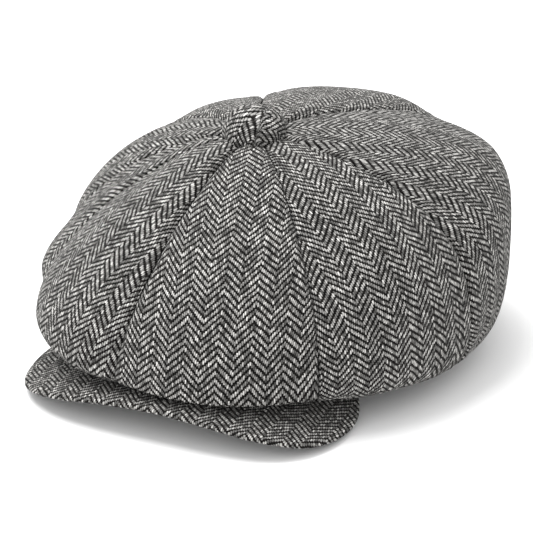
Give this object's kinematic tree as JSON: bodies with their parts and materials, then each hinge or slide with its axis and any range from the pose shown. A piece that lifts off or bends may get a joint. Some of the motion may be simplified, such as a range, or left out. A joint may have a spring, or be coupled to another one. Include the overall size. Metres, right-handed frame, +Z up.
{
  "type": "newsboy cap",
  "caption": "Soft panelled cap in herringbone tweed with a full slouching crown, a covered top button, a head band and a stiff arched peak.",
  "frame": {"origin": "centre of the head opening, in the plane that the rear of the band rests on", "axes": "+Z up, towards the button; the peak faces -Y; +X is the wearer's left"},
  "size_m": [0.2786, 0.3191, 0.1435],
  "materials": {
    "tweed": "grey herringbone wool tweed, matt",
    "lining": "smooth satin lining",
    "sweatband": "ribbed cotton grosgrain, matt",
    "interlining": "stiff woven interlining, matt",
    "label": "blank woven label, satin",
    "button_metal": "pressed steel",
    "peak_board": "matt polyethylene sheet"
  },
  "bodies": {
    "crown": {"panel_front": "tweed", "panel_front_left": "tweed", "panel_left": "tweed", "panel_rear_left": "tweed", "panel_rear": "tweed", "panel_rear_right": "tweed", "panel_right": "tweed", "panel_front_right": "tweed", "lining_front": "lining", "lining_front_left": "lining", "lining_left": "lining", "lining_rear_left": "lining", "lining_rear": "lining", "lining_rear_right": "lining", "lining_right": "lining", "lining_front_right": "lining", "outer_band": "tweed", "band_interlining": "interlining", "sweatband": "sweatband", "size_tab": "label", "care_label": "label", "lining_label": "label", "button_cover": "tweed", "button_shell": "button_metal", "button_back": "button_metal", "button_shank": "button_metal", "button_washer": "button_metal"},
    "peak": {"peak_top_cover": "tweed", "peak_board": "peak_board", "peak_under_cover": "tweed"}
  },
  "joints": [
    {"name": "peak_flex", "type": "hinge", "parent": "crown", "child": "peak", "pos_m": [0, -0.048, 0.008], "axis": [1, 0, 0], "range_deg": [0, 10], "stiffness_Nm_per_rad": 0.5}
  ]
}
